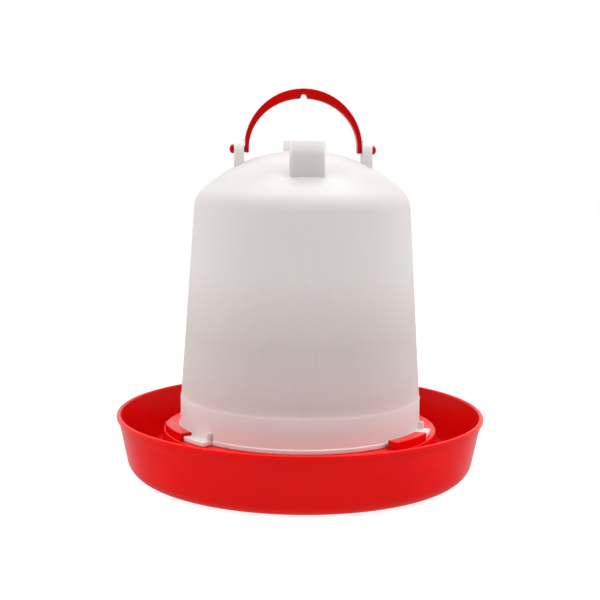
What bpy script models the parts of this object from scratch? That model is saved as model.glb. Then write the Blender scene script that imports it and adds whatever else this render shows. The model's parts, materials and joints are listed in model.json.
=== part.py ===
"""Siphon drinker for poultry: a bell-shaped water reservoir locked on a round drinking tray.

Three mouldings make the whole object:
  drinking_tray  raised centre with a seat ring, a trough round it, and three bayonet hooks
  reservoir      open-footed bell with three lugs, two ears, two filling feet and water notches
  bail_handle    arched strap whose two pins snap into the ears
Units are metres. The origin is the centre of the tray's underside, +Z is up, the ears are on
+X and -X, and the front is -Y. Azimuths are in degrees, anticlockwise from +X seen from above.
"""
import math

import bmesh
import bpy
from mathutils import Matrix, Vector

COLLECTION = "poultry_drinker"
CUTTERS = "cutters"
SEGMENTS = 60                  # facets round every large turned shape
GAP = 0.0003                   # running gap between pieces that touch on the real object

# Drinking tray
RIM_RADIUS = 0.1435
RIM_HEIGHT = 0.0475
WALL_DRAFT = math.radians(11.7)
TRAY_WALL = 0.0022
RIM_BEAD = 0.0008              # how far the bead stands out of the outer wall
BEAD_HEIGHT = 0.0030
CORNER_RADIUS = 0.0155         # outer bottom corner
SEAT_HEIGHT = 0.0353
SEAT_RADIUS = 0.1070
SEAT_INNER_RADIUS = 0.0850
SEAT_EDGE_RADIUS = 0.0015
CENTRE_DROP = 0.0040           # the middle of the raised centre lies this much below the seat
HUB_DRAFT = 0.0025             # the raised centre is this much wider at its foot
TROUGH_FILLET = 0.0050

# Bayonet, three equal stations
STATIONS = 3
HOOK_AZIMUTH = 79.5
HOOK_HALF_ANGLE = 11.0
HOOK_INNER_RADIUS = 0.0970
HOOK_OUTER_RADIUS = 0.1064
HOOK_POST = 0.0021             # thickness of the hook's outer post
HOOK_TOP = 0.0062              # above the seat
HOOK_END_ANGLE = 1.6           # closed end of the hook, which stops the lug
FINGER = 0.0023                # thickness of the hook's finger
HOOK_ROOT = 0.0012             # how deep the hook is rooted in the seat ring
LUG_RADIUS = 0.1037
LUG_THICKNESS = 0.0033
LUG_START = -9.1               # lug ends, in degrees from the middle of its hook
LUG_END = 24.5
RIB_THICKNESS = 0.0020
RIB_RADIUS = 0.0985
RIB_HEIGHT = 0.0055            # above the lug

# Reservoir
FOOT_HEIGHT = SEAT_HEIGHT + GAP
FLANGE_RADIUS = 0.0949
FLANGE_HEIGHT = 0.0032
SKIRT_RADIUS = 0.0939
STEP_HEIGHT = 0.0600           # where the straight skirt ends and the taper starts
STEP_WIDTH = 0.0005
SHOULDER_HEIGHT = 0.2040
SHOULDER_RADIUS = 0.0836       # wall radius there
SHOULDER_FILLET = 0.0190
CROWN_HEIGHT = 0.2510
CROWN_RADIUS = 0.1137          # sphere of the domed top
BELL_WALL = 0.0020
NOTCH_WIDTH = 0.0100
NOTCH_HEIGHT = 0.0028

# Ears and filling feet, which all end in one plane
TOP_PLANE = 0.2593
PIVOT_HEIGHT = 0.2517
EAR_INNER = 0.0453
EAR_OUTER = 0.0529
EAR_ROOT_HALF_WIDTH = 0.0095
EAR_ROOT_HEIGHT = 0.2360
FILLING_FOOT_WIDTH = 0.0255
FILLING_FOOT_OUTER = 0.0620    # outer and inner face, from the axis
FILLING_FOOT_INNER = 0.0490
FILLING_FOOT_ROOT = 0.2250
FILLING_FOOT_WALL = 0.0020
FOOT_EDGE = 0.0018
PIN_RADIUS = 0.0025
BORE_RADIUS = 0.0029

# Bail handle
HANDLE_HALF_WIDTH = 0.0452
HANDLE_TOP = 0.2979
HANDLE_TOP_THICKNESS = 0.0076
HANDLE_LEG_THICKNESS = 0.0036
HANDLE_DEPTH = 0.0120
LEG_SETBACK = 0.0006           # the legs stand back from the ears by this step
LEG_BELOW_PIVOT = 0.0028
HANG_NOTCH_RADIUS = 0.0030
HEAD_RADIUS = 0.0035
HEAD_LENGTH = 0.0033
HANDLE_EDGE = 0.0009


def clear_scene():
    for thing in list(bpy.data.objects):
        bpy.data.objects.remove(thing, do_unlink=True)


def new_collection(name):
    collection = bpy.data.collections.new(name)
    bpy.context.scene.collection.children.link(collection)
    return collection


def plastic(name, colour, roughness):
    """A moulded plastic: plain colour, never metallic."""
    material = bpy.data.materials.new(name)
    material.use_nodes = True
    shader = material.node_tree.nodes["Principled BSDF"]
    shader.inputs["Base Color"].default_value = (*colour, 1.0)
    shader.inputs["Roughness"].default_value = roughness
    shader.inputs["Metallic"].default_value = 0.0
    return material


def arc(centre, radius, start, end, steps):
    """Points on an arc in the r-z plane, angles in radians, both ends included."""
    points = []
    for i in range(steps + 1):
        angle = start + (end - start) * i / steps
        points.append((centre[0] + radius * math.cos(angle), centre[1] + radius * math.sin(angle)))
    return points


def turned(name, outline, collection):
    """A solid of revolution from an (r, z) outline that runs from the top, outside, to the bottom."""
    mesh = bpy.data.meshes.new(name)
    vertices = [(r, 0.0, z) for r, z in outline]
    mesh.from_pydata(vertices, [(i, i + 1) for i in range(len(vertices) - 1)], [])
    solid = bpy.data.objects.new(name, mesh)
    collection.objects.link(solid)
    screw = solid.modifiers.new("turn", "SCREW")
    screw.axis = "Z"
    screw.angle = math.tau
    screw.steps = SEGMENTS
    screw.render_steps = SEGMENTS
    screw.use_merge_vertices = True
    screw.merge_threshold = 0.00001
    return solid


def as_cutter(thing):
    thing.hide_render = True
    thing.display_type = "WIRE"
    return thing


def baked(thing, name, collection):
    """Replace a curve or a modified object with its evaluated, welded mesh."""
    bpy.context.view_layer.update()
    evaluated = thing.evaluated_get(bpy.context.evaluated_depsgraph_get())
    mesh = bpy.data.meshes.new_from_object(evaluated)
    work = bmesh.new()
    work.from_mesh(mesh)
    bmesh.ops.remove_doubles(work, verts=work.verts, dist=0.000005)
    bmesh.ops.recalc_face_normals(work, faces=work.faces)
    work.to_mesh(mesh)
    work.free()
    solid = bpy.data.objects.new(name, mesh)
    solid.matrix_world = thing.matrix_world
    collection.objects.link(solid)
    bpy.data.objects.remove(thing, do_unlink=True)
    return solid


def plate(name, outline, thickness, matrix, collection, bevel=0.0):
    """A flat outline, extruded by half the thickness each way, and placed by a matrix."""
    curve = bpy.data.curves.new(name, "CURVE")
    curve.dimensions = "2D"
    curve.fill_mode = "BOTH"
    curve.extrude = thickness / 2
    spline = curve.splines.new("POLY")
    spline.points.add(len(outline) - 1)
    for point, (x, y) in zip(spline.points, outline):
        point.co = (x, y, 0.0, 1.0)
    spline.use_cyclic_u = True
    flat = bpy.data.objects.new(name + "_outline", curve)
    flat.matrix_world = matrix
    collection.objects.link(flat)
    solid = baked(flat, name, collection)
    if bevel:
        edge = solid.modifiers.new("edges", "BEVEL")
        edge.width = bevel
        edge.segments = 2
        edge.angle_limit = math.radians(40)
    return solid


def sector(inner, outer, start, end, steps):
    """Plan outline of a ring sector, angles in degrees."""
    return (arc((0, 0), outer, math.radians(start), math.radians(end), steps)
            + arc((0, 0), inner, math.radians(end), math.radians(start), steps))


def combine(target, tool, operation):
    boolean = target.modifiers.new(tool.name, "BOOLEAN")
    boolean.operation = operation
    boolean.solver = "EXACT"
    boolean.object = as_cutter(tool)


def finish(solid, material):
    """Give the piece its finish and round shading."""
    solid.data.materials.clear()
    solid.data.materials.append(material)
    solid.data.shade_smooth()
    solid.data.set_sharp_from_angle(angle=math.radians(30))


def level(height):
    return Matrix.Translation((0.0, 0.0, height))


# Drinking tray ---------------------------------------------------------------------------------

def wall_line(inset):
    """Outer corner centre and wall foot for the tray's wall, moved in by inset."""
    slope = math.tan(WALL_DRAFT)
    top = RIM_RADIUS - RIM_BEAD
    centre = top - (CORNER_RADIUS + (RIM_HEIGHT - CORNER_RADIUS) * math.sin(WALL_DRAFT)) \
        / math.cos(WALL_DRAFT)
    radius_at = lambda z: top - (RIM_HEIGHT - z) * slope - inset / math.cos(WALL_DRAFT)
    return centre, radius_at


def tray_outline():
    """Water side from the middle out over the rim, then the underside back to the middle."""
    corner, outer_wall = wall_line(0.0)
    _, inner_wall = wall_line(TRAY_WALL)
    bead = BEAD_HEIGHT / 2
    hub_foot = SEAT_RADIUS + HUB_DRAFT
    centre_top = SEAT_HEIGHT - CENTRE_DROP
    edge = SEAT_EDGE_RADIUS
    points = [(0.0, centre_top), (SEAT_INNER_RADIUS - CENTRE_DROP, centre_top),
              (SEAT_INNER_RADIUS, SEAT_HEIGHT)]
    points += arc((SEAT_RADIUS - edge, SEAT_HEIGHT - edge), edge, math.pi / 2, 0.0, 3)
    points += arc((hub_foot + TROUGH_FILLET, TRAY_WALL + TROUGH_FILLET), TROUGH_FILLET,
                  math.pi, 1.5 * math.pi, 3)
    points += arc((corner, CORNER_RADIUS), CORNER_RADIUS - TRAY_WALL,
                  -math.pi / 2, -WALL_DRAFT, 4)
    points.append((inner_wall(RIM_HEIGHT - bead), RIM_HEIGHT - bead))
    rim_middle = (inner_wall(RIM_HEIGHT) + RIM_RADIUS) / 2
    rim_half = (RIM_RADIUS - inner_wall(RIM_HEIGHT)) / 2
    points += [(rim_middle + rim_half * math.cos(a), RIM_HEIGHT - bead + bead * math.sin(a))
               for a in (math.radians(d) for d in (135, 90, 45, 0))]
    points.append((RIM_RADIUS, RIM_HEIGHT - BEAD_HEIGHT))
    points.append((outer_wall(RIM_HEIGHT - BEAD_HEIGHT), RIM_HEIGHT - BEAD_HEIGHT - RIM_BEAD / 2))
    points += arc((corner, CORNER_RADIUS), CORNER_RADIUS, -WALL_DRAFT, -math.pi / 2, 5)
    points += [(hub_foot - TRAY_WALL, 0.0),
               (SEAT_RADIUS - TRAY_WALL, SEAT_HEIGHT - TRAY_WALL),
               (SEAT_INNER_RADIUS, SEAT_HEIGHT - TRAY_WALL),
               (SEAT_INNER_RADIUS - CENTRE_DROP, centre_top - TRAY_WALL),
               (0.0, centre_top - TRAY_WALL)]
    return points


def bayonet_hook(azimuth, cutters):
    """Inverted L over the lug: outer post, finger and one closed end, rooted in the seat ring."""
    start = azimuth - HOOK_HALF_ANGLE
    end = azimuth + HOOK_HALF_ANGLE
    height = HOOK_TOP + HOOK_ROOT
    body = plate("hook_body", sector(HOOK_INNER_RADIUS, HOOK_OUTER_RADIUS, start, end, 5), height,
                 level(SEAT_HEIGHT + HOOK_TOP - height / 2), cutters)
    slot_height = HOOK_TOP - FINGER + 2 * HOOK_ROOT
    slot = plate("hook_slot",
                 sector(HOOK_INNER_RADIUS - 0.002, HOOK_OUTER_RADIUS - HOOK_POST,
                        start + HOOK_END_ANGLE, end + 2.0, 5),
                 slot_height, level(SEAT_HEIGHT + HOOK_TOP - FINGER - slot_height / 2), cutters)
    combine(body, slot, "DIFFERENCE")
    return baked(body, "hook", cutters)


def build_tray(parts, cutters):
    tray = turned("drinking_tray", tray_outline(), parts)
    for station in range(STATIONS):
        combine(tray, bayonet_hook(HOOK_AZIMUTH + station * 360 / STATIONS, cutters), "UNION")
    finish(tray, plastic("red_polypropylene", (0.68, 0.010, 0.006), 0.30))
    return tray


# Reservoir -------------------------------------------------------------------------------------

def bell_outline(inset):
    """Crown to foot of the bell's surface, moved in by inset: dome, shoulder, taper and skirt."""
    slope = (SHOULDER_RADIUS - SKIRT_RADIUS + STEP_WIDTH) / (SHOULDER_HEIGHT - STEP_HEIGHT)
    stretch = math.hypot(1.0, slope)
    dome_centre = CROWN_HEIGHT - CROWN_RADIUS
    dome = CROWN_RADIUS - inset
    fillet = SHOULDER_FILLET - inset
    # The fillet's centre is on the wall line moved in by SHOULDER_FILLET, inside the dome's sphere.
    base = SHOULDER_RADIUS - slope * SHOULDER_HEIGHT - SHOULDER_FILLET * stretch
    a = 1.0 + slope ** 2
    b = 2 * (base * slope - dome_centre)
    c = base ** 2 + dome_centre ** 2 - (CROWN_RADIUS - SHOULDER_FILLET) ** 2
    height = (-b + math.sqrt(b * b - 4 * a * c)) / (2 * a)
    centre = (base + slope * height, height)
    join = math.atan2(centre[1] - dome_centre, centre[0])
    points = arc((0.0, dome_centre), dome, math.pi / 2, join, 7)
    points[0] = (0.0, CROWN_HEIGHT - inset)
    points += arc(centre, fillet, join, math.atan(-slope), 5)[1:]
    points.append((SKIRT_RADIUS - STEP_WIDTH - inset * stretch, STEP_HEIGHT))
    points.append((SKIRT_RADIUS - inset, STEP_HEIGHT - 2 * STEP_WIDTH))
    return points


def bell_body(parts):
    flange_top = FOOT_HEIGHT + FLANGE_HEIGHT
    outline = bell_outline(0.0)
    outline += [(SKIRT_RADIUS, flange_top), (FLANGE_RADIUS, flange_top - 0.0005),
                (FLANGE_RADIUS, FOOT_HEIGHT), (0.0, FOOT_HEIGHT)]
    return turned("reservoir", outline, parts)


def bell_cavity(openings, cutters):
    """The space inside the bell, open through the foot, joined with the openings that lead off it."""
    below = FOOT_HEIGHT - 0.005
    cavity = turned("bell_cavity", bell_outline(BELL_WALL)
                    + [(SKIRT_RADIUS - BELL_WALL, below), (0.0, below)], cutters)
    for opening in openings:
        combine(cavity, opening, "UNION")
    return baked(cavity, "cavity", cutters)


def lug(azimuth, cutters):
    middle = FOOT_HEIGHT + 0.0001 + LUG_THICKNESS / 2
    outline = sector(SKIRT_RADIUS - 0.001, LUG_RADIUS, azimuth + LUG_START, azimuth + LUG_END, 7)
    return plate("lug", outline, LUG_THICKNESS, level(middle), cutters)


def lug_rib(azimuth, cutters):
    """Upright rib between the wall and the lug, close to the lug's open end."""
    half = math.degrees(RIB_THICKNESS / 2 / RIB_RADIUS)
    middle = azimuth + LUG_END - 2 * half
    bottom = FOOT_HEIGHT + LUG_THICKNESS / 2
    height = LUG_THICKNESS / 2 + RIB_HEIGHT
    outline = sector(SKIRT_RADIUS - 0.001, RIB_RADIUS, middle - half, middle + half, 1)
    return plate("lug_rib", outline, height, level(bottom + height / 2), cutters)


def cross_rod(name, radius, low, high, sides, collection):
    """A round rod along X at the handle's pivot height."""
    mesh = bpy.data.meshes.new(name)
    work = bmesh.new()
    middle = Vector(((low + high) / 2, 0.0, PIVOT_HEIGHT))
    place = Matrix.Translation(middle) @ Matrix.Rotation(math.pi / 2, 4, "Y")
    bmesh.ops.create_cone(work, cap_ends=True, segments=sides, radius1=radius, radius2=radius,
                          depth=high - low, matrix=place)
    work.to_mesh(mesh)
    work.free()
    rod = bpy.data.objects.new(name, mesh)
    collection.objects.link(rod)
    return rod


def ear(side, cutters):
    """Upright plate with a round top about the pin's bore, wider at its root."""
    radius = TOP_PLANE - PIVOT_HEIGHT
    outline = arc((0.0, PIVOT_HEIGHT), radius, 0.0, math.pi, 10)
    outline += [(-EAR_ROOT_HALF_WIDTH, EAR_ROOT_HEIGHT), (EAR_ROOT_HALF_WIDTH, EAR_ROOT_HEIGHT)]
    upright = Matrix(((0, 0, 1, side * (EAR_INNER + EAR_OUTER) / 2), (1, 0, 0, 0),
                      (0, 1, 0, 0), (0, 0, 0, 1)))
    body = plate("ear_body", outline, EAR_OUTER - EAR_INNER, upright, cutters, bevel=0.0006)
    low, high = sorted((side * (EAR_INNER - 0.002), side * (EAR_OUTER + 0.002)))
    combine(body, cross_rod("pin_bore", BORE_RADIUS, low, high, 16, cutters), "DIFFERENCE")
    return baked(body, "ear", cutters)


def box(name, low, high, cutters, bevel=0.0):
    low, high = Vector(low), Vector(high)
    mesh = bpy.data.meshes.new(name)
    work = bmesh.new()
    bmesh.ops.create_cube(work, size=1.0, matrix=Matrix.Translation((low + high) / 2)
                          @ Matrix.Diagonal((*(high - low), 1.0)))
    work.to_mesh(mesh)
    work.free()
    solid = bpy.data.objects.new(name, mesh)
    cutters.objects.link(solid)
    if bevel:
        edge = solid.modifiers.new("edges", "BEVEL")
        edge.width = bevel
        edge.segments = 2
    return solid


def filling_foot(side, cutters):
    """Solid foot and its hollow, on the front (side -1) or the rear (side 1) of the dome."""
    half = FILLING_FOOT_WIDTH / 2
    near, far = sorted((side * FILLING_FOOT_INNER, side * FILLING_FOOT_OUTER))
    wall = FILLING_FOOT_WALL
    solid = box("filling_foot", (-half, near, FILLING_FOOT_ROOT), (half, far, TOP_PLANE), cutters,
                bevel=FOOT_EDGE)
    hollow = box("foot_hollow", (wall - half, near + wall, FILLING_FOOT_ROOT - 0.010),
                 (half - wall, far - wall, TOP_PLANE - wall), cutters)
    return solid, hollow


def water_notch(azimuth, cutters):
    half = math.degrees(NOTCH_WIDTH / 2 / SKIRT_RADIUS)
    outline = sector(SKIRT_RADIUS - 0.006, FLANGE_RADIUS + 0.003, azimuth - half, azimuth + half, 2)
    return plate("water_notch", outline, 2 * NOTCH_HEIGHT, level(FOOT_HEIGHT), cutters)


def build_reservoir(parts, cutters):
    bell = bell_body(parts)
    openings = []
    for station in range(STATIONS):
        azimuth = HOOK_AZIMUTH + station * 360 / STATIONS
        combine(bell, lug(azimuth, cutters), "UNION")
        combine(bell, lug_rib(azimuth, cutters), "UNION")
        free_middle = azimuth + (LUG_END + LUG_START + 360 / STATIONS) / 2
        if math.sin(math.radians(free_middle)) > 0:           # the skirt's front is not notched
            openings.append(water_notch(free_middle, cutters))
    for side in (-1, 1):
        combine(bell, ear(side, cutters), "UNION")
        foot, hollow = filling_foot(side, cutters)
        combine(bell, foot, "UNION")
        openings.append(hollow)
    combine(bell, bell_cavity(openings, cutters), "DIFFERENCE")
    finish(bell, plastic("natural_polypropylene", (0.80, 0.77, 0.75), 0.38))
    return bell


# Bail handle -----------------------------------------------------------------------------------

def handle_outline():
    """Front view of the strap in (x, z): outer arc, legs, and inner arc with the hanging notch."""
    outer = HANDLE_HALF_WIDTH
    spring = HANDLE_TOP - outer                    # height of the arcs' centre
    inner_x = outer - HANDLE_LEG_THICKNESS
    inner_z = outer - HANDLE_TOP_THICKNESS
    leg_outer = outer - LEG_SETBACK
    bottom = PIVOT_HEIGHT - LEG_BELOW_PIVOT
    step = TOP_PLANE
    first = math.asin((step - spring) / outer)
    right = [(leg_outer, bottom), (leg_outer, step - 0.0004)]
    outline = right + arc((0.0, spring), outer, first, math.pi - first, 26)
    outline += [(-x, z) for x, z in reversed(right)]
    outline.append((-inner_x, bottom))
    notch_edge = math.acos(HANG_NOTCH_RADIUS / inner_x)
    inner = [(inner_x * math.cos(t), spring + inner_z * math.sin(t))
             for t in (math.pi - (math.pi - notch_edge) * i / 11 for i in range(12))]
    mouth = inner[-1][1]
    notch = arc((0.0, mouth), HANG_NOTCH_RADIUS, math.pi, 0.0, 6)
    outline += inner[:-1] + notch
    outline += [(-x, z) for x, z in reversed(inner[:-1])]
    outline.append((inner_x, bottom))
    return outline


def pin(side, cutters):
    """Shaft through the ear, ending in a domed snap head."""
    root = HANDLE_HALF_WIDTH - LEG_SETBACK - 0.0015
    neck = EAR_OUTER + GAP
    low, high = sorted((side * root, side * (neck + 0.0006)))
    shaft = cross_rod("pin_shaft", PIN_RADIUS, low, high, 16, cutters)
    outline = [(0.0, neck + HEAD_LENGTH)]
    outline += [(HEAD_RADIUS * math.cos(a), neck + 0.0008 + (HEAD_LENGTH - 0.0008) * math.sin(a))
                for a in (math.radians(d) for d in (65, 45, 25, 0))]
    outline += [(HEAD_RADIUS, neck), (0.0, neck)]
    head = turned("pin_head", outline, cutters)
    head.modifiers["turn"].steps = 16
    head.modifiers["turn"].render_steps = 16
    head.matrix_world = Matrix.Translation((0.0, 0.0, PIVOT_HEIGHT)) \
        @ Matrix.Rotation(side * math.pi / 2, 4, "Y")
    return shaft, head


def build_handle(parts, cutters):
    pivot = Vector((0.0, 0.0, PIVOT_HEIGHT))
    upright = Matrix(((1, 0, 0, 0), (0, 0, -1, 0), (0, 1, 0, 0), (0, 0, 0, 1)))
    strap = plate("bail_handle", handle_outline(), HANDLE_DEPTH, upright, parts, bevel=HANDLE_EDGE)
    strap.data.transform(Matrix.Translation(-pivot) @ strap.matrix_world)
    strap.matrix_world = Matrix.Translation(pivot)
    for side in (-1, 1):
        for piece in pin(side, cutters):
            combine(strap, piece, "UNION")
    finish(strap, plastic("red_polypropylene_handle", (0.60, 0.008, 0.006), 0.35))
    return strap


def main():
    clear_scene()
    parts = new_collection(COLLECTION)
    cutters = new_collection(CUTTERS)
    build_tray(parts, cutters)
    build_reservoir(parts, cutters)
    build_handle(parts, cutters)


main()
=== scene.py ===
# %% [markdown]
# # A siphon drinker for poultry
# Three mouldings make the whole object: a red drinking tray, a milky bell that holds the water, and
# a red bail handle snapped into the bell's ears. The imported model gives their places, sizes and
# joints. Here each one is rebuilt as a fine surface in the same place, and gets its plastic.

# %% Load the frame
import json
import math

import bmesh
import bpy
import numpy as np
from mathutils import Matrix, Vector

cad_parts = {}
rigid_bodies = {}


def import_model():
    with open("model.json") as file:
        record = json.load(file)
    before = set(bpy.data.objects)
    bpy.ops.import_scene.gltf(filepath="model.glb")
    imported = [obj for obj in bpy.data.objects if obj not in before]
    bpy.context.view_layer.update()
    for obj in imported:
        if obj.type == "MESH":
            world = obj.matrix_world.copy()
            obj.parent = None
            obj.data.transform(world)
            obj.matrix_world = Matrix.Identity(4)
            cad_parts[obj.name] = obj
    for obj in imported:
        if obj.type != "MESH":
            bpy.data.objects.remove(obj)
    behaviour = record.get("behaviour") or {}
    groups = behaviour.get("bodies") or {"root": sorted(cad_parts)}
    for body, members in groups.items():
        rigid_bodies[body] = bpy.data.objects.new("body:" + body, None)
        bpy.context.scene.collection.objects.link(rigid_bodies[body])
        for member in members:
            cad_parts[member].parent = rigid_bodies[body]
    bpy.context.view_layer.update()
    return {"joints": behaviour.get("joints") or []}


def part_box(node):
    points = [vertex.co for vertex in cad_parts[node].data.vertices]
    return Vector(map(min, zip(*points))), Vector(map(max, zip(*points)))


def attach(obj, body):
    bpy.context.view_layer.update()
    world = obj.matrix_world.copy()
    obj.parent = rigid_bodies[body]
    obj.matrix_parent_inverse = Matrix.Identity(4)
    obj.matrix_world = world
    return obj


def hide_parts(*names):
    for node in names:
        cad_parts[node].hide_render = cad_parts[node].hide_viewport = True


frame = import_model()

# %% [markdown]
# ## Sizes
# The frame gives the sizes that matter to its box: the tray's rim, and the top, width and depth of
# the handle. The others are driving dimensions of the mouldings, in metres, and are the same as the
# CAD model's, because a visible surface has to lie where its solid does. Two differ a little: the
# half-millimetre step low on the bell stands 1.5 mm higher here than in the solid, and the notch
# under the handle has rounded shoulders and a radius of 2.4 mm where the solid has 3.0 mm. Small
# edges also have radii of their own, finer than the solid's bevels.

# %% Driving sizes
_, tray_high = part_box("drinking_tray")
handle_low, handle_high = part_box("bail_handle")
RIM_RADIUS = tray_high[0]
RIM_HEIGHT = tray_high[2]
HANDLE_TOP = handle_high[2]
PIN_END = handle_high[0]
HANDLE_DEPTH = handle_high[1] - handle_low[1]
PIVOT_HEIGHT = next(j["pos_m"][2] for j in frame["joints"] if j["name"] == "handle_swing")
DEGREE = math.pi / 180

print("rim radius", round(RIM_RADIUS, 4), "rim height", round(RIM_HEIGHT, 4),
      "handle top", round(HANDLE_TOP, 4), "pivot height", round(PIVOT_HEIGHT, 4))

# %% [markdown]
# ## Surfaces from two parameters
# A turned moulding is a function of two parameters: how far along its outline, and how far round
# its axis. A rib or hook on a round part is a small section carried along an arc. Numpy works out
# the whole grid of points at once, which is faster and easier to read than adding vertices one by
# one, and the faces are the grid's cells.

# %% Outline helpers
CORNER_ANGLE = 20 * DEGREE     # an outline that turns by less than this is taken as a curve
SAME_POINT = 1e-6              # points closer than this are one


def arc(centre, radius, start, end, count=8):
    """Points of a circle's arc: centre + radius * (cos t, sin t), with t from start to end."""
    t = np.linspace(start, end, count)
    return np.stack([centre[0] + radius * np.cos(t), centre[1] + radius * np.sin(t)], axis=1)


def line(start, end, count=2):
    """Points on a straight run, so that long faces are not stretched."""
    t = np.linspace(0.0, 1.0, count)[:, None]
    return np.asarray(start) * (1 - t) + np.asarray(end) * t


def joined(*runs):
    """One outline from several runs of points, without the points that coincide."""
    points = np.concatenate([np.atleast_2d(np.asarray(run, dtype=float)) for run in runs])
    step = np.linalg.norm(np.diff(points, axis=0), axis=1)
    return points[np.concatenate([[True], step > SAME_POINT])]


def rounded(points, radius, count=4, closed=False):
    """Corners of a polyline replaced by quadratic curves; points on arcs, which turn less, stay.

    Each corner P between A and B becomes (1-t)^2 * P1 + 2t(1-t) * P + t^2 * P2, where P1 and P2 lie
    radius away from P on the two sides, or less where a side is short."""
    points = np.asarray(points, dtype=float)
    before, after = np.roll(points, 1, axis=0) - points, np.roll(points, -1, axis=0) - points
    lengths = np.linalg.norm(before, axis=1), np.linalg.norm(after, axis=1)
    straight = -(before * after).sum(axis=1) / (lengths[0] * lengths[1])
    corner = straight < math.cos(CORNER_ANGLE)
    if not closed:
        corner[[0, -1]] = False
    first, last = (points + side * (np.minimum(radius / length, 0.45) * corner)[:, None]
                   for side, length in zip((before, after), lengths))
    t = np.linspace(0.0, 1.0, count)[None, :, None]
    curves = ((1 - t) ** 2 * first[:, None] + 2 * t * (1 - t) * points[:, None]
              + t ** 2 * last[:, None])
    return joined(curves.reshape(-1, 2))


# %% Mesh helpers
SHARP_ANGLE = 32 * DEGREE      # edges that turn by more than this stay crisp in the shading
PIECES = bpy.data.collections.new("poultry_drinker")
TOOLS = bpy.data.collections.new("tools")
bpy.context.scene.collection.children.link(PIECES)
bpy.context.scene.collection.children.link(TOOLS)


def mesh_object(name, vertices, faces, collection=TOOLS):
    """A mesh object from arrays of points and faces."""
    mesh = bpy.data.meshes.new(name)
    mesh.from_pydata(np.asarray(vertices).tolist(), [], [list(map(int, f)) for f in faces])
    mesh.validate()
    thing = bpy.data.objects.new(name, mesh)
    collection.objects.link(thing)
    return thing


def outward(thing):
    """Weld a closed mesh and turn its faces outwards, because a section may run either way."""
    work = bmesh.new()
    work.from_mesh(thing.data)
    bmesh.ops.remove_doubles(work, verts=work.verts, dist=SAME_POINT)
    bmesh.ops.recalc_face_normals(work, faces=work.faces)
    work.to_mesh(thing.data)
    work.free()
    return thing


def grid_cells(rows, columns):
    """Quads of a grid whose points are numbered row by row; the last column meets the first."""
    i = np.arange(rows - 1)[:, None]
    j = np.arange(columns)[None, :]
    k = (j + 1) % columns
    cells = np.stack(np.broadcast_arrays(i * columns + j, (i + 1) * columns + j,
                                         (i + 1) * columns + k, i * columns + k), axis=-1)
    return cells.reshape(-1, 4)


def turned(name, outline, azimuths, lift=None):
    """Solid of revolution. Point (r, z) at azimuth a goes to (r cos a, r sin a, z).

    The outline starts and ends on the axis, from the top, outside, to the bottom. lift(r, z, a)
    gives an amount that is added to r, for a raised detail on the surface."""
    r, z = outline[1:-1, 0][:, None], outline[1:-1, 1][:, None]
    a = azimuths[None, :]
    radius = r + (lift(r, z, a) if lift else 0.0)
    rings = np.stack(np.broadcast_arrays(radius * np.cos(a), radius * np.sin(a), z), axis=-1)
    rows, columns = rings.shape[:2]
    points = np.concatenate([rings.reshape(-1, 3), [[0, 0, outline[0, 1]], [0, 0, outline[-1, 1]]]])
    here = np.arange(columns)
    after = (here + 1) % columns
    top, bottom = rows * columns, rows * columns + 1
    last = (rows - 1) * columns
    faces = [*grid_cells(rows, columns),
             *np.stack([np.full(columns, top), here, after], axis=1),
             *np.stack([last + here, np.full(columns, bottom), last + after], axis=1)]
    return mesh_object(name, points, faces)


def rounded_block(name, section, low, high, edge, to_space, rings=2, grow=1.0):
    """A closed section (u, v) carried along w from low to high, with both ends rounded.

    Near an end the section is moved inwards along its normals by edge * (1 - sin t), at a distance
    grow * edge * (1 - cos t) short of the end, with t from zero to a right angle. to_space turns
    the arrays u, v and w into points, and grow turns the edge's length into units of w."""
    ahead, behind = np.roll(section, -1, axis=0), np.roll(section, 1, axis=0)
    tangent = (ahead - behind) / np.linalg.norm(ahead - behind, axis=1, keepdims=True)
    inwards = np.stack([-tangent[:, 1], tangent[:, 0]], axis=1)
    t = np.linspace(0.0, math.pi / 2, 4)
    inset, back = edge * (1 - np.sin(t)), grow * edge * (1 - np.cos(t))
    straight = np.linspace(low + back[-1], high - back[-1], rings)[1:-1]
    inset = np.concatenate([inset, np.zeros(len(straight)), inset[::-1]])
    w = np.concatenate([low + back, straight, (high - back)[::-1]])
    sections = section[None] + inset[:, None, None] * inwards[None]
    along = np.broadcast_to(w[:, None], sections.shape[:2])
    points = to_space(sections[..., 0], sections[..., 1], along).reshape(-1, 3)
    size, last = len(section), (len(w) - 1) * len(section)
    faces = [*grid_cells(len(w), size), np.arange(size)[::-1], np.arange(size) + last]
    return outward(mesh_object(name, points, faces))


def round_axis(r, z, a):
    """(radius, height, azimuth) to (r cos a, r sin a, z)."""
    return np.stack([r * np.cos(a), r * np.sin(a), z], axis=-1)


def facing_x(y, z, x):
    """A section in the y-z plane carried along X."""
    return np.stack([x, y, z], axis=-1)


def facing_y(x, z, y):
    """A section in the x-z plane carried along Y."""
    return np.stack([x, y, z], axis=-1)


def lying(x, y, z):
    """A section in the x-y plane carried along Z."""
    return np.stack([x, y, z], axis=-1)


def moulded(thing, tools, operation):
    """Join or cut one closed solid with others, one after the other, and keep only the result."""
    for tool in tools:
        boolean = thing.modifiers.new("join", "BOOLEAN")
        boolean.operation = operation
        boolean.solver = "MANIFOLD"
        boolean.object = tool
        bpy.context.view_layer.update()
        evaluated = thing.evaluated_get(bpy.context.evaluated_depsgraph_get())
        mesh = bpy.data.meshes.new_from_object(evaluated)
        thing.modifiers.clear()
        thing.data = mesh
        bpy.data.objects.remove(tool, do_unlink=True)
    return thing


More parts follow.
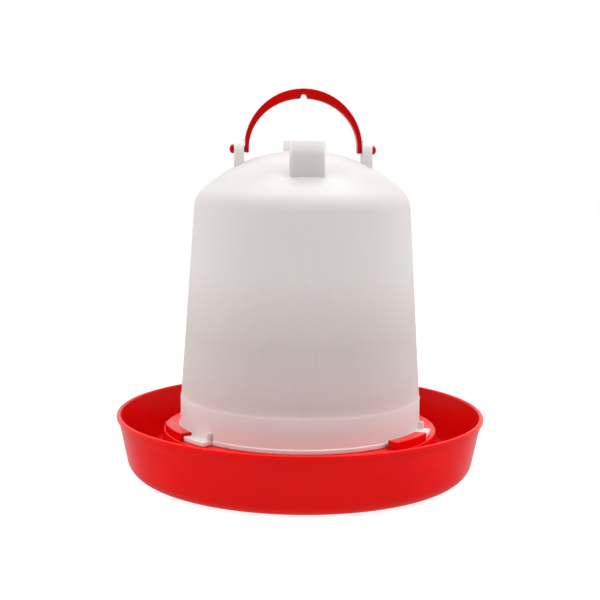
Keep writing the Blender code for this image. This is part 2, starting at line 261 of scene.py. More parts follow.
def finished(thing, name, body, node, material):
    """Name a piece, shade it, give it its plastic, and tell the frame what it is."""
    thing.name = name
    thing.data.name = name
    for collection in list(thing.users_collection):
        collection.objects.unlink(thing)
    PIECES.objects.link(thing)
    thing.data.materials.clear()
    thing.data.materials.append(material)
    thing.data.shade_smooth()
    thing.data.set_sharp_from_angle(angle=SHARP_ANGLE)
    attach(thing, body)
    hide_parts(node)
    thing.data.calc_loop_triangles()
    print(name, "has", len(thing.data.loop_triangles), "triangles")
    return thing


# %% [markdown]
# ## The drinking tray
# One injection moulding: a raised centre that carries the bell on its seat ring, and a trough round
# it for the water. It could be built by bending plates, but every part of it except the hooks is
# round about one axis, so one outline turned about Z is both exact and easy to change. The wall
# leans out so that the moulding leaves its mould and the trays stack.

# %% The tray's outline
WALL_DRAFT = 11.7 * DEGREE
TRAY_WALL = 0.0022
RIM_BEAD = 0.0008
BEAD_HEIGHT = 0.0030
CORNER_RADIUS = 0.0155
SEAT_HEIGHT = 0.0353
SEAT_RADIUS = 0.1070
SEAT_INNER_RADIUS = 0.0850
CENTRE_DROP = 0.0040
HUB_DRAFT = 0.0025
HUB_FLARE = 0.0004             # how far the hub's lowest run leans out
HUB_FLARE_HEIGHT = 0.0040      # height of that run, above the trough's fillet
TROUGH_FILLET = 0.0050
STACKING_LINE = 0.0385         # a faint step round the outside of the wall
STACKING_STEP = 0.00015
STACKING_RUN = 0.0004          # height over which the step is made
SEAT_CORNER = 0.0013           # radii of the outline's corners
RIM_CORNER = 0.0003
UNDERSIDE_CORNER = 0.0008


def tray_outline():
    """(r, z) from the middle of the water side out over the rim and back along the underside."""
    lean = math.tan(WALL_DRAFT)
    wall_top = RIM_RADIUS - RIM_BEAD
    below_rim = RIM_HEIGHT - CORNER_RADIUS
    corner = wall_top - (CORNER_RADIUS + below_rim * math.sin(WALL_DRAFT)) / math.cos(WALL_DRAFT)

    def wall(z, inset=0.0):
        return wall_top - (RIM_HEIGHT - z) * lean - inset / math.cos(WALL_DRAFT), z

    foot = SEAT_RADIUS + HUB_DRAFT
    middle = SEAT_HEIGHT - CENTRE_DROP
    neck = RIM_HEIGHT - BEAD_HEIGHT / 2
    inner_top = wall(neck, TRAY_WALL)[0]
    lip_half = (RIM_RADIUS - inner_top) / 2
    lip = arc((0, 0), 1.0, math.pi, 0.0, 13) * [lip_half, BEAD_HEIGHT / 2]
    lip = lip + [inner_top + lip_half, neck]
    fillet_height = TRAY_WALL + TROUGH_FILLET
    water_side = joined(
        rounded([(0, middle), (SEAT_INNER_RADIUS - CENTRE_DROP, middle),
                 (SEAT_INNER_RADIUS, SEAT_HEIGHT), (SEAT_RADIUS, SEAT_HEIGHT),
                 (foot - HUB_FLARE, fillet_height + HUB_FLARE_HEIGHT)], SEAT_CORNER, 6),
        arc((foot + TROUGH_FILLET, fillet_height), TROUGH_FILLET, math.pi, 1.5 * math.pi, 9),
        arc((corner, CORNER_RADIUS), CORNER_RADIUS - TRAY_WALL, -math.pi / 2, -WALL_DRAFT, 16),
        line(wall(CORNER_RADIUS, TRAY_WALL), wall(neck, TRAY_WALL), 9)[1:])
    step_top = wall(STACKING_LINE)
    step_low = wall(STACKING_LINE - STACKING_RUN, STACKING_STEP)
    outside = joined(
        rounded([(RIM_RADIUS, neck), (RIM_RADIUS, RIM_HEIGHT - BEAD_HEIGHT),
                 wall(RIM_HEIGHT - BEAD_HEIGHT - RIM_BEAD / 2), step_top], RIM_CORNER, 4),
        line(step_top, step_low),
        line(step_low, wall(CORNER_RADIUS, STACKING_STEP / 4), 8),
        arc((corner, CORNER_RADIUS), CORNER_RADIUS, -WALL_DRAFT, -math.pi / 2, 18))
    underside = rounded([(corner, 0), (foot - TRAY_WALL, 0),
                         (SEAT_RADIUS - TRAY_WALL, SEAT_HEIGHT - TRAY_WALL),
                         (SEAT_INNER_RADIUS, SEAT_HEIGHT - TRAY_WALL),
                         (SEAT_INNER_RADIUS - CENTRE_DROP, middle - TRAY_WALL),
                         (0, middle - TRAY_WALL)], UNDERSIDE_CORNER, 5)
    return joined(water_side, lip, outside, underside)


STEPS_ROUND = 360
TURN = np.linspace(0.0, math.tau, STEPS_ROUND, endpoint=False)
tray = turned("tray_body", tray_outline(), TURN)
print("tray body:", len(tray.data.vertices), "points")

# %% [markdown]
# ## The bayonet hooks
# Three hooks on the seat ring hold the bell's lugs down. Each is a short bent channel: a post on
# the outside, a finger over the lug, and one closed end that stops the turn. A block with rounded
# edges could be bent along the ring by a modifier, but carrying the section along the arc in one
# formula keeps the section true.

# %% Hooks
HOOK_AZIMUTHS = (79.5 + np.arange(3) * 120.0) * DEGREE
HOOK_HALF_ANGLE = 11.0 * DEGREE
HOOK_END_ANGLE = 1.6 * DEGREE
HOOK_INNER = 0.0970
HOOK_OUTER = 0.1064
HOOK_POST = 0.0021
HOOK_TOP = SEAT_HEIGHT + 0.0062
HOOK_ROOT = SEAT_HEIGHT - 0.0012
FINGER = 0.0023
SOFT_EDGE = 0.00035            # radius left on small moulded edges
HOOK_CORNER = SOFT_EDGE * 1.6


def hook(azimuth):
    """The channel and its closed end, as two blocks that meet inside one another."""
    start, end = azimuth - HOOK_HALF_ANGLE, azimuth + HOOK_HALF_ANGLE
    roof = HOOK_TOP - FINGER
    channel = rounded([(HOOK_OUTER, HOOK_ROOT), (HOOK_OUTER, HOOK_TOP), (HOOK_INNER, HOOK_TOP),
                       (HOOK_INNER, roof), (HOOK_OUTER - HOOK_POST, roof),
                       (HOOK_OUTER - HOOK_POST, HOOK_ROOT)], HOOK_CORNER, closed=True)
    stop = rounded([(HOOK_OUTER, HOOK_ROOT), (HOOK_OUTER, HOOK_TOP), (HOOK_INNER, HOOK_TOP),
                    (HOOK_INNER, HOOK_ROOT)], HOOK_CORNER, closed=True)
    stop_end = start + HOOK_END_ANGLE
    grow = 1 / HOOK_OUTER
    return [rounded_block("hook_channel", channel, start, end, SOFT_EDGE, round_axis, 24, grow),
            rounded_block("hook_stop", stop, start, stop_end, SOFT_EDGE, round_axis, 4, grow)]


hooks = [block for azimuth in HOOK_AZIMUTHS for block in hook(azimuth)]
tray = moulded(tray, hooks, "UNION")
print("tray with hooks:", len(tray.data.polygons), "faces")

# %% [markdown]
# ## The bell
# The reservoir is a bell of natural polypropylene, moulded open at its foot: a domed crown, a round
# shoulder, a wall that widens to a step, and a straight skirt with a flange. It is made solid
# first, with its ears, feet and lugs joined on, and hollowed last, so that nothing pokes into the
# water space. The cavity's outline is the same outline moved in by the wall's thickness.

# %% The bell's outline
SEAT_GAP = 0.0003              # room between the seat ring and the bell's foot
FOOT_HEIGHT = SEAT_HEIGHT + SEAT_GAP
FLANGE_RADIUS = 0.0949
FLANGE_HEIGHT = 0.0032
SKIRT_RADIUS = 0.0939
SKIRT_CORNER = 0.0005
STEP_HEIGHT = 0.0615
STEP_WIDTH = 0.0005
SHOULDER_HEIGHT = 0.2040
SHOULDER_RADIUS = 0.0836
SHOULDER_FILLET = 0.0190
CROWN_HEIGHT = 0.2510
CROWN_RADIUS = 0.1137
BELL_WALL = 0.0020


def bell_outline(inset):
    """(r, z) of the crown, shoulder, wall and skirt, moved in by inset.

    The fillet's centre lies on the wall's line moved in by the fillet's radius, and inside the
    crown's sphere by the same radius, which is a quadratic equation in the centre's height."""
    slope = (SHOULDER_RADIUS - SKIRT_RADIUS + STEP_WIDTH) / (SHOULDER_HEIGHT - STEP_HEIGHT)
    stretch = math.hypot(1.0, slope)
    sphere = CROWN_HEIGHT - CROWN_RADIUS
    base = SHOULDER_RADIUS - slope * SHOULDER_HEIGHT - SHOULDER_FILLET * stretch
    a = 1.0 + slope ** 2
    b = 2 * (base * slope - sphere)
    c = base ** 2 + sphere ** 2 - (CROWN_RADIUS - SHOULDER_FILLET) ** 2
    height = (-b + math.sqrt(b * b - 4 * a * c)) / (2 * a)
    centre = base + slope * height, height
    meeting = math.atan2(height - sphere, centre[0])
    crown = arc((0, sphere), CROWN_RADIUS - inset, math.pi / 2, meeting, 40)
    shoulder = arc(centre, SHOULDER_FILLET - inset, meeting, math.atan(-slope), 20)
    step = [(SKIRT_RADIUS - STEP_WIDTH - inset * stretch, STEP_HEIGHT),
            (SKIRT_RADIUS - inset, STEP_HEIGHT - 2 * STEP_WIDTH)]
    wall = line(shoulder[-1], step[0], 24)
    return joined(crown, shoulder, wall, step)


# %% [markdown]
# A band 9.4 mm wide stands a hair proud of the front wall, from the step to the shoulder. It is
# added to the radius by a smooth formula. The columns of the grid are closer together at its two
# edges, because an edge can only be as crisp as the grid that carries it.

# %% The front band and the bell's body
BAND_HALF_WIDTH = 0.0047
BAND_HEIGHT = 0.00022
BAND_EDGE = 0.0004
BAND_LOW_END = 0.001           # lengths over which the band rises at its foot and at its head
BAND_HIGH_END = 0.004
EVEN_FROM = 0.075              # angle from the front beyond which the columns are evenly spaced
BAND_INNER = 0.035             # angle of the outermost of the columns along the band's middle
FRONT = 1.5 * math.pi


def front_band(r, z, azimuth):
    """BAND_HEIGHT times a smooth step across the band's edge and across its two ends."""
    across = np.abs((azimuth - FRONT + math.pi) % math.tau - math.pi) * SHOULDER_RADIUS
    inside = np.clip((BAND_HALF_WIDTH - across) / BAND_EDGE + 0.5, 0, 1)
    low_end = np.clip((z - STEP_HEIGHT) / BAND_LOW_END, 0, 1)
    high_end = np.clip((SHOULDER_HEIGHT - z) / BAND_HIGH_END, 0, 1)
    return BAND_HEIGHT * inside ** 2 * (3 - 2 * inside) * (low_end * high_end)


edges = FRONT + np.array([[-1.0], [1.0]]) * BAND_HALF_WIDTH / SHOULDER_RADIUS
fine = edges + np.linspace(-1, 1, 6)[None, :] * BAND_EDGE / SHOULDER_RADIUS
columns = np.unique(np.concatenate([TURN[np.abs(TURN - FRONT) > EVEN_FROM], fine.ravel(),
                                    FRONT + np.linspace(-BAND_INNER, BAND_INNER, 5)]))
flange_top = FOOT_HEIGHT + FLANGE_HEIGHT
skirt = rounded([(SKIRT_RADIUS, STEP_HEIGHT - 2 * STEP_WIDTH), (SKIRT_RADIUS, flange_top),
                 (FLANGE_RADIUS, flange_top), (FLANGE_RADIUS, FOOT_HEIGHT), (0, FOOT_HEIGHT)],
                SKIRT_CORNER)
bell = turned("bell_body", joined(bell_outline(0.0), skirt), columns, front_band)
print("bell body:", len(bell.data.vertices), "points")

# %% [markdown]
# ## Lugs, ears and filling feet
# The lugs slide under the tray's hooks, and an upright rib stiffens each one. The ears carry the
# handle. The two box-shaped feet are hollow, and with the ears they let the bell stand on its head
# while it is filled, so all four end in one plane.

# %% Lugs and ribs
LUG_RADIUS = 0.1037
LUG_THICKNESS = 0.0033
LUG_SPAN = np.array([-9.1, 24.5]) * DEGREE
RIB_RADIUS = 0.0985
RIB_HALF_ANGLE = 0.0010 / RIB_RADIUS
RIB_HEIGHT = 0.0055
PLATE_CORNER = 0.0007
RIB_CORNER = 0.0006
OVERLAP = 0.0010               # how far solids that are joined reach into one another
INTO_WALL = SKIRT_RADIUS - OVERLAP
LUG_BOTTOM = FOOT_HEIGHT + 0.0001


def rectangle(low_u, high_u, low_v, high_v, radius):
    """A closed rectangle with rounded corners."""
    corners = [(low_u, low_v), (high_u, low_v), (high_u, high_v), (low_u, high_v)]
    return rounded(corners, radius, closed=True)


def lug(azimuth):
    """The lug's plate and the rib that stands on it near its free end."""
    start, end = azimuth + LUG_SPAN
    top = LUG_BOTTOM + LUG_THICKNESS
    plate = rectangle(INTO_WALL, LUG_RADIUS, LUG_BOTTOM, top, PLATE_CORNER)
    rib = rectangle(INTO_WALL, RIB_RADIUS, top - OVERLAP, top + RIB_HEIGHT, RIB_CORNER)
    middle = end - 2 * RIB_HALF_ANGLE
    rib_start, rib_end = middle - RIB_HALF_ANGLE, middle + RIB_HALF_ANGLE
    grow = 1 / LUG_RADIUS
    return [rounded_block("lug_plate", plate, start, end, SOFT_EDGE * 2, round_axis, 36, grow),
            rounded_block("lug_rib", rib, rib_start, rib_end, SOFT_EDGE, round_axis, 3, grow)]


# %% Ears and feet
EAR_SPAN = (0.0453, 0.0529)
EAR_ROOT_HALF_WIDTH = 0.0095
EAR_ROOT_HEIGHT = 0.2360
TOP_PLANE = 0.2593
BORE_RADIUS = 0.0029
FILLING_FOOT_HALF_WIDTH = 0.01275
FILLING_FOOT_SPAN = (0.0490, 0.0620)
FILLING_FOOT_ROOT = 0.2250
FILLING_FOOT_WALL = 0.0020
FILLING_FOOT_TOP_WALL = 0.0034
FILLING_FOOT_CORNER = 0.0026   # upright edges outside, then the top's edge, then those inside
FILLING_FOOT_EDGE = 0.0012
HOLLOW_CORNER = 0.0012
HOLLOW_EDGE = 0.0005
TOOL_EDGE = 0.0001             # edge of a tool that only cuts, or that ends inside a solid
PAST = 0.002                   # how far a cutting tool reaches past the surface it opens


def circle(centre, radius):
    """A closed circle of forty points as a section."""
    return arc(centre, radius, 0.0, math.tau, 41)[:-1]


def span(side, low, high):
    """The span from low to high on the positive side, or its mirror image."""
    return sorted((side * low, side * high))


def ear(side):
    """Upright plate, round at its top about the pin's bore."""
    root = [(-EAR_ROOT_HALF_WIDTH, EAR_ROOT_HEIGHT), (EAR_ROOT_HALF_WIDTH, EAR_ROOT_HEIGHT)]
    outline = joined(arc((0, PIVOT_HEIGHT), TOP_PLANE - PIVOT_HEIGHT, 0.0, math.pi, 33), root)
    return rounded_block("ear", outline, *span(side, *EAR_SPAN), SOFT_EDGE * 2, facing_x, 4)


def filling_foot(side):
    """The foot's solid block, from inside the crown up to the top plane."""
    y = span(side, *FILLING_FOOT_SPAN)
    half = FILLING_FOOT_HALF_WIDTH
    outline = rectangle(-half, half, *y, FILLING_FOOT_CORNER)
    return rounded_block("filling_foot", outline, FILLING_FOOT_ROOT, TOP_PLANE, FILLING_FOOT_EDGE,
                         lying, 8)


def foot_hollow(side):
    """The space inside the foot, open to the water space below it."""
    inside = FILLING_FOOT_WALL
    y = span(side, FILLING_FOOT_SPAN[0] + inside, FILLING_FOOT_SPAN[1] - inside)
    half = FILLING_FOOT_HALF_WIDTH - inside
    outline = rectangle(-half, half, *y, HOLLOW_CORNER)
    return rounded_block("foot_hollow", outline, FILLING_FOOT_ROOT - 0.010,
                         TOP_PLANE - FILLING_FOOT_TOP_WALL, HOLLOW_EDGE, lying, 8)


def pin_bore(side):
    """A round bore through the ear."""
    bore = circle((0, PIVOT_HEIGHT), BORE_RADIUS)
    low, high = span(side, EAR_SPAN[0] - PAST, EAR_SPAN[1] + PAST)
    return rounded_block("pin_bore", bore, low, high, TOOL_EDGE, facing_x, 3)


NOTCH_HALF_WIDTH = 0.005
NOTCH_TOP = FOOT_HEIGHT + 0.0028
NOTCH_CORNER = 0.0008


def water_notch(azimuth):
    """A cut in the skirt's foot that lets water out and air in."""
    section = rectangle(SKIRT_RADIUS - 0.006, FLANGE_RADIUS + 0.003, FOOT_HEIGHT - 0.003, NOTCH_TOP,
                        NOTCH_CORNER)
    half = NOTCH_HALF_WIDTH / SKIRT_RADIUS
    return rounded_block("water_notch", section, azimuth - half, azimuth + half, SOFT_EDGE,
                         round_axis, 8, 1 / SKIRT_RADIUS)


SIDES = (-1, 1)
ears = moulded(ear(-1), [ear(1)], "UNION")
ears = moulded(ears, [pin_bore(side) for side in SIDES], "DIFFERENCE")
added = [ears] + [filling_foot(side) for side in SIDES]
added += [block for azimuth in HOOK_AZIMUTHS for block in lug(azimuth)]
bell = moulded(bell, added, "UNION")
print("bell with its ears and feet:", len(bell.data.polygons), "faces")

# %% Hollow the bell
cavity_low = FOOT_HEIGHT - 0.005
cavity_foot = [(SKIRT_RADIUS - BELL_WALL, cavity_low), (0, cavity_low)]
cavity = turned("bell_cavity", joined(bell_outline(BELL_WALL), cavity_foot), TURN)
free_span = HOOK_AZIMUTHS + (LUG_SPAN.sum() + math.tau / 3) / 2
rear = free_span[np.sin(free_span) > 0]
hollows = [foot_hollow(side) for side in SIDES] + [water_notch(azimuth) for azimuth in rear]
cavity = moulded(cavity, hollows, "UNION")
bell = moulded(bell, [cavity], "DIFFERENCE")
print("hollow bell:", len(bell.data.polygons), "faces")

# %% [markdown]
# ## The bail handle
# A flat strap bent into an arch, thicker at its top where the hand pulls, with two pins that snap
# into the ears. Its front outline is drawn once, as arcs, and given a depth with rounded edges.

# %% The strap's outline
HANDLE_HALF_WIDTH = 0.0452
HANDLE_TOP_THICKNESS = 0.0076
HANDLE_LEG_THICKNESS = 0.0036
LEG_SETBACK = 0.0006
LEG_BELOW_PIVOT = 0.0028
HANG_NOTCH_RADIUS = 0.0024
NOTCH_SHOULDER = 0.0009
HANDLE_EDGE = 0.0006
LEG_CORNER = 0.0012
STEP_TO_LEG = 0.0004           # height over which the outline steps back to the leg


def strap_outline():
    """(x, z) of the arch: outer half circle, legs set back by a step, inner ellipse with a notch.

    The notch is a half circle, and a quarter circle on each side of it rounds its shoulders."""
    spring = HANDLE_TOP - HANDLE_HALF_WIDTH
    leg = HANDLE_HALF_WIDTH - LEG_SETBACK
    bottom = PIVOT_HEIGHT - LEG_BELOW_PIVOT
    first = math.asin((TOP_PLANE - spring) / HANDLE_HALF_WIDTH)
    outer = arc((0, spring), HANDLE_HALF_WIDTH, first, math.pi - first, 97)
    inner_x = HANDLE_HALF_WIDTH - HANDLE_LEG_THICKNESS
    inner_z = HANDLE_HALF_WIDTH - HANDLE_TOP_THICKNESS
    shoulder_x = HANG_NOTCH_RADIUS + NOTCH_SHOULDER
    mouth = math.acos(shoulder_x / inner_x)
    ellipse = arc((0, 0), 1.0, math.pi, math.pi - mouth, 44) * [inner_x, inner_z] + [0, spring]
    centre_z = ellipse[-1, 1] + NOTCH_SHOULDER
    inner = joined(ellipse, arc((-shoulder_x, centre_z), NOTCH_SHOULDER, -math.pi / 2, 0.0, 7))
    notch = arc((0, centre_z), HANG_NOTCH_RADIUS, math.pi, 0.0, 15)
    mirrored = inner[::-1] * [-1, 1]
    leg_top = TOP_PLANE - STEP_TO_LEG
    outline = joined([(leg, bottom), (leg, leg_top)], outer,
                     [(-leg, leg_top), (-leg, bottom), (-inner_x, bottom)],
                     inner, notch, mirrored, [(inner_x, bottom)])
    return rounded(outline, LEG_CORNER, closed=True)


strap = rounded_block("strap", strap_outline(), -HANDLE_DEPTH / 2, HANDLE_DEPTH / 2, HANDLE_EDGE,
                      facing_y, 3)

# %% Pins with snap heads
PIN_RADIUS = 0.0025
HEAD_RADIUS = 0.0035
HEAD_LENGTH = 0.0033
HEAD_RIM = 0.0006              # straight part of the head, below its dome
HEAD_CORNER = 0.0002
PIN_ROOT = HANDLE_HALF_WIDTH - 0.0021
NECK = EAR_SPAN[1] + 0.0003


def pin(side):
    """A shaft through the ear, and a domed head that is wider than the bore."""
    shaft = rounded_block("pin_shaft", circle((0, PIVOT_HEIGHT), PIN_RADIUS),
                          *span(side, PIN_ROOT, NECK + HEAD_RIM), TOOL_EDGE, facing_x, 3)
    dome = arc((0, 0), 1.0, math.pi / 2, 0.0, 14) * [HEAD_RADIUS, HEAD_LENGTH - HEAD_RIM]
    rim = rounded([(HEAD_RADIUS, HEAD_RIM), (HEAD_RADIUS, 0), (0, 0)], HEAD_CORNER)
    outline = joined(dome + [0, HEAD_RIM], rim)
    head = turned("pin_head", outline, np.linspace(0, math.tau, 48, endpoint=False))
    sideways = Matrix.Rotation(side * math.pi / 2, 4, "Y")
    head.data.transform(Matrix.Translation((side * NECK, 0, PIVOT_HEIGHT)) @ sideways)
    return [shaft, head]


handle = moulded(strap, [piece for side in SIDES for piece in pin(side)], "UNION")
print("handle:", len(handle.data.polygons), "faces")


# %% [markdown]
# ## Plastics
# All three pieces are polypropylene. A moulded surface is never one flat colour: the pigment varies
# a little, the mould leaves a fine grain, and the gloss changes where the piece was polished or
# rubbed. Each pattern's scale comes from a real size in millimetres on the object's coordinates.

# %% Material helpers
MM = 1000.0                    # pattern scale for one feature a millimetre
POLYPROPYLENE_IOR = 1.49


def linear(code):
    """A hex colour as linear RGBA: c / 12.92 near black, else ((c + 0.055) / 1.055) ^ 2.4."""
    c = np.array([int(code[i:i + 2], 16) for i in (1, 3, 5)]) / 255
    return (*np.where(c <= 0.04045, c / 12.92, ((c + 0.055) / 1.055) ** 2.4), 1.0)


def add(tree, kind, inputs=(), **settings):
    """Add a shader node; inputs maps a socket to a value or to the output that feeds it."""
    made = tree.nodes.new("ShaderNode" + kind)
    for key, value in settings.items():
        setattr(made, key, value)
    for key, value in dict(inputs).items():
        if isinstance(value, bpy.types.NodeSocket):
            tree.links.new(value, made.inputs[key])
        else:
            made.inputs[key].default_value = value
    return made


def empty_material(name):
    """A material with only its output and the object's coordinates."""
    material = bpy.data.materials.new(name)
    material.use_nodes = True
    tree = material.node_tree
    tree.nodes.clear()
    return material, tree, add(tree, "OutputMaterial"), add(tree, "TexCoord").outputs["Object"]


def cloud(tree, place, size_mm, low, high, detail=2.0, stretch=(1, 1, 1)):
    """Smooth noise with features size_mm across, mapped from its middle range to low and high."""
    scaled = add(tree, "Mapping", {"Vector": place, "Scale": stretch})
    noise = add(tree, "TexNoise", {"Vector": scaled.outputs[0], "Scale": MM / size_mm,
                                   "Detail": detail})
    return add(tree, "MapRange", {"Value": noise.outputs[0], "From Min": 0.35, "From Max": 0.65,
                                  "To Min": low, "To Max": high}).outputs[0]


# %% [markdown]
# The red is an injection-moulded polypropylene with an organic pigment. Its surface is glossy and
# a little waxy: a weak reflection straight on, which grows strongly towards the outline. The colour
# drifts by a few per cent along the flow of the melt, the grain is a fine spark-eroded texture, and
# the tray's bottom edge is rubbed a little paler and duller from being set down. The handle is a
# deeper red than the tray.

# %% Red polypropylene
RUBBED_RED = "#D9534B"
RUBBED_FADE = 0.002            # height over which the rubbing fades out
NEVER = -1.0                   # a height that no part of the object reaches down to


def red_polypropylene(name, deep, bright, rubbed_below):
    """Pigmented polypropylene; rubbed_below is the height under which standing has scuffed it."""
    material, tree, output, place = empty_material(name)
    drift = cloud(tree, place, 40.0, 0.0, 1.0, 1.0, (1, 1, 3))
    colour = add(tree, "Mix", {0: drift, 6: linear(deep), 7: linear(bright)},
                 data_type="RGBA").outputs[2]
    height = add(tree, "SeparateXYZ", {0: place}).outputs[2]
    low = add(tree, "MapRange", {"Value": height, "From Min": rubbed_below,
                                 "From Max": rubbed_below - RUBBED_FADE}).outputs[0]
    scuffs = cloud(tree, place, 1.4, -0.6, 0.8, 6.0, (1, 1, 5))
    rubbed = add(tree, "Math", {0: low, 1: scuffs}, operation="MULTIPLY", use_clamp=True).outputs[0]
    worn = add(tree, "Mix", {0: rubbed, 6: colour, 7: linear(RUBBED_RED)},
               data_type="RGBA").outputs[2]
    sheen = cloud(tree, place, 16.0, 0.24, 0.27, 3.0, (1, 1, 7))
    dull = add(tree, "Math", {0: rubbed, 1: 0.25, 2: sheen}, operation="MULTIPLY_ADD").outputs[0]
    grain = cloud(tree, place, 0.8, 0.0, 1.0, 1.0)
    bump = add(tree, "Bump", {"Height": grain, "Strength": 0.03, "Distance": 0.0001}).outputs[0]
    shader = add(tree, "BsdfPrincipled", {"Base Color": worn, "Roughness": dull, "Normal": bump,
                                          "IOR": POLYPROPYLENE_IOR, "Specular IOR Level": 0.15})
    tree.links.new(shader.outputs[0], output.inputs[0])
    return material


tray_plastic = red_polypropylene("red_polypropylene_moulded", "#D80805", "#DE0905", 0.0015)
handle_plastic = red_polypropylene("red_polypropylene_strap", "#AC0503", "#B40604", NEVER)
print("red plastics:", tray_plastic.name, handle_plastic.name)

# %% [markdown]
# The bell is the same polymer with no pigment, which is milky: light goes in, scatters, and comes
# out on the other side. A scattering volume shows that best but is slow and noisy on a thin wall,
# so the wall is a mix of a satin plastic and a translucent shader on both of its faces. The light
# that enters goes round the inside, and picks up red from the tray. This wall is equally thick all
# over, which a real one isn't, so a ramp of whiteness over height, tuned and not measured, stands
# in partly for that, and is partly painted light and shade: painted shade through the middle of the
# wall and over the crown, a painted glow low on the skirt, and a thin painted highlight along the
# step. The core's ejection has left faint upright drag lines.

# %% Natural polypropylene
# Whiteness by height, partly for the wall's thickness and partly painted light and shade: a painted
# glow on the skirt below the step, a thin painted highlight at the step, and painted shade through
# the middle of the wall and over the crown.
THICKNESS_AND_PAINTED_SHADE = [(0.0450, "#FAF4F2"), (0.0600, "#ECE6E4"), (0.0607, "#F6F1EF"), (0.0615, "#F6F1EF"),
                (0.0623, "#E4DDDB"), (0.1100, "#D5CFCD"), (0.1600, "#E3DEDC"), (0.2050, "#DFDBDA"),
                (0.2300, "#D3CFCE"), (0.2490, "#DAD7D6"), (0.2520, "#ECE9E8")]
THROUGH = 0.35                 # share of the light that goes through the wall


def natural_polypropylene(name):
    """Milky plastic: a satin surface, mixed by THROUGH with light that comes through.

    The skin's colour is read at the height from a ramp that is partly the wall's thickness and
    partly painted light and shade, plus a wobble under half a millimetre."""
    material, tree, output, place = empty_material(name)
    height = add(tree, "SeparateXYZ", {0: place}).outputs[2]
    # The wobble moves the height at which the ramp of thickness and painted shade is read.
    level_wobble = cloud(tree, place, 34.0, -0.0004, 0.0004)
    level = add(tree, "Math", {0: height, 1: level_wobble}, operation="ADD").outputs[0]
    share = add(tree, "MapRange", {"Value": level, "From Min": FOOT_HEIGHT,
                                   "From Max": TOP_PLANE}).outputs[0]
    # This ramp paints shade, glow and a highlight line into the base colour, along with the wall's
    # thickness.
    shade_and_thickness_ramp = add(tree, "ValToRGB", {0: share})
    stops = shade_and_thickness_ramp.color_ramp.elements
    for at, code in THICKNESS_AND_PAINTED_SHADE:
        stop = stops.new((at - FOOT_HEIGHT) / (TOP_PLANE - FOOT_HEIGHT))
        stop.color = linear(code)
    stops.remove(stops[0])
    stops.remove(stops[-1])
    shade_and_thickness = shade_and_thickness_ramp.outputs[0]
    drag = cloud(tree, place, 1.6, 0.0, 1.0, 1.0, (1, 1, 0.008))
    inner = add(tree, "Mix", {0: drag, 6: linear("#F4F1F0"), 7: linear("#F7F5F4")},
                data_type="RGBA").outputs[2]
    satin = cloud(tree, place, 12.0, 0.36, 0.42, 3.0)
    bump = add(tree, "Bump", {"Height": drag, "Strength": 0.05, "Distance": 0.0001}).outputs[0]
    surface = add(tree, "BsdfPrincipled", {"Base Color": shade_and_thickness, "Roughness": satin, "Normal": bump,
                                           "IOR": POLYPROPYLENE_IOR})
    through = add(tree, "BsdfTranslucent", {"Color": inner})
    wall = add(tree, "MixShader", {0: THROUGH, 1: surface.outputs[0], 2: through.outputs[0]})
    tree.links.new(wall.outputs[0], output.inputs[0])
    return material


bell_plastic = natural_polypropylene("natural_polypropylene_moulded")
print("bell plastic:", bell_plastic.name)

# %% Finish the pieces
finished(tray, "tray_moulding", "tray", "drinking_tray", tray_plastic)
finished(bell, "bell_moulding", "reservoir", "reservoir", bell_plastic)
finished(handle, "bail_moulding", "handle", "bail_handle", handle_plastic)

# %% [markdown]
# ## Floor, light and camera
# A pale floor that runs far back, a white surround, and large soft lights above and to both sides.
# The surround is dimmer in front, which is what keeps the red saturated and shades the bell's
# middle. Reflections that run steeply down see less of it too, because the floor is hidden from
# gloss and would otherwise look as bright as the surround.

# %% Floor
FLOOR_RADIUS = 6.0
FLOOR_SIDES = 96
FLOOR_LEVEL = -0.0004          # a hair below the tray, so that the two never share a surface
around = np.linspace(0, math.tau, FLOOR_SIDES, endpoint=False)
floor_points = np.stack([FLOOR_RADIUS * np.cos(around), FLOOR_RADIUS * np.sin(around),
                         np.full(FLOOR_SIDES, FLOOR_LEVEL)], axis=1)
floor = mesh_object("studio_floor", floor_points, [np.arange(FLOOR_SIDES)],
                    bpy.context.scene.collection)
floor_paint, tree, output, _ = empty_material("matt_white_floor")
matt = add(tree, "BsdfPrincipled", {"Base Color": linear("#808080"), "Roughness": 0.9, "IOR": 1.1,
                                    "Emission Color": (1, 1, 1, 1), "Emission Strength": 0.88})
tree.links.new(matt.outputs[0], output.inputs[0])
floor.data.materials.append(floor_paint)
floor.visible_glossy = False
print("floor:", FLOOR_RADIUS, "m in radius")

# %% Surround
SURROUND_FRONT = 0.06
SURROUND_BACK = 1.0
UNDERSIDE = 0.35               # share of the surround that a gloss looking steeply down sees
world = bpy.data.worlds.new("studio")
bpy.context.scene.world = world
world.use_nodes = True
tree = world.node_tree
tree.nodes.clear()
direction = add(tree, "SeparateXYZ", {0: add(tree, "TexCoord").outputs["Generated"]})
fall = add(tree, "MapRange", {"Value": direction.outputs[1], "From Min": -0.6, "From Max": 0.9,
                              "To Min": SURROUND_FRONT, "To Max": SURROUND_BACK}).outputs[0]
steep = add(tree, "MapRange", {"Value": direction.outputs[2], "From Min": -0.45, "From Max": -0.15,
                               "To Min": UNDERSIDE, "To Max": 1.0}).outputs[0]
strength = add(tree, "Math", {0: fall, 1: steep}, operation="MULTIPLY").outputs[0]
soft = add(tree, "Background", {"Color": (1, 1, 1, 1), "Strength": strength})
seen = add(tree, "Background", {"Color": (1, 1, 1, 1), "Strength": 1.0})
eye = add(tree, "LightPath").outputs["Is Camera Ray"]
shown = add(tree, "MixShader", {0: eye, 1: soft.outputs[0], 2: seen.outputs[0]})
tree.links.new(shown.outputs[0], add(tree, "OutputWorld").inputs[0])
print("surround:", SURROUND_FRONT, "in front,", SURROUND_BACK, "behind")


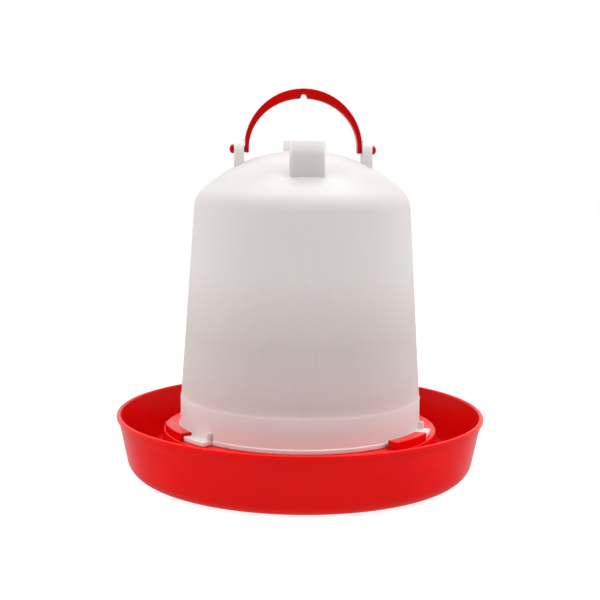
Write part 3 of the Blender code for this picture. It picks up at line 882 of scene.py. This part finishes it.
# %% Lamps
def softbox(name, place, aim, size, watts):
    """A square area lamp that looks from place towards aim."""
    lamp = bpy.data.lights.new(name, "AREA")
    lamp.size = size
    lamp.energy = watts
    holder = bpy.data.objects.new(name, lamp)
    bpy.context.scene.collection.objects.link(holder)
    holder.location = place
    holder.rotation_euler = (Vector(aim) - Vector(place)).to_track_quat("-Z", "Y").to_euler()
    holder.visible_camera = False
    return holder


TARGET = (0, 0, 0.12)
softbox("softbox_top", (0.08, 0.20, 1.15), TARGET, 0.7, 8.5)
for side, name in ((-1, "softbox_left"), (1, "softbox_right")):
    fill = softbox(name, (side * 1.1, -0.55, 1.25), TARGET, 0.9, 20.0)
    fill.visible_glossy = False

# %% [markdown]
# The camera stands a little to the left of straight in front, slightly above the bell's crown, and
# looks down by seven degrees. Its axes are worked out from its heading, pitch and roll, so that
# each angle is one named value.

# %% Camera
CAMERA_DISTANCE = 0.94
CAMERA_HEIGHT = 0.2574
CAMERA_ROUND = -3.3 * DEGREE
CAMERA_HEADING = 90.06 * DEGREE
CAMERA_PITCH = 7.42 * DEGREE
CAMERA_ROLL = 0.65 * DEGREE
LENS = 72.77

stand = FRONT + CAMERA_ROUND
heading = CAMERA_HEADING + CAMERA_ROUND
ahead = np.array([math.cos(heading), math.sin(heading), 0.0])
aside = np.array([math.sin(heading), -math.cos(heading), 0.0])
upright = np.array([0.0, 0.0, 1.0])
forward = ahead * math.cos(CAMERA_PITCH) - upright * math.sin(CAMERA_PITCH)
above = ahead * math.sin(CAMERA_PITCH) + upright * math.cos(CAMERA_PITCH)
right = aside * math.cos(CAMERA_ROLL) + above * math.sin(CAMERA_ROLL)
top = above * math.cos(CAMERA_ROLL) - aside * math.sin(CAMERA_ROLL)
lens = bpy.data.cameras.new("camera")
lens.lens = LENS
lens.clip_end = 50.0
camera = bpy.data.objects.new("camera", lens)
bpy.context.scene.collection.objects.link(camera)
place = (CAMERA_DISTANCE * math.cos(stand), CAMERA_DISTANCE * math.sin(stand), CAMERA_HEIGHT)
axes = Matrix(np.stack([right, top, -forward], axis=1).tolist()).to_4x4()
camera.matrix_world = Matrix.Translation(place) @ axes
bpy.context.scene.camera = camera
bpy.context.scene.view_settings.view_transform = "Standard"
print("camera at", [round(v, 3) for v in camera.location])
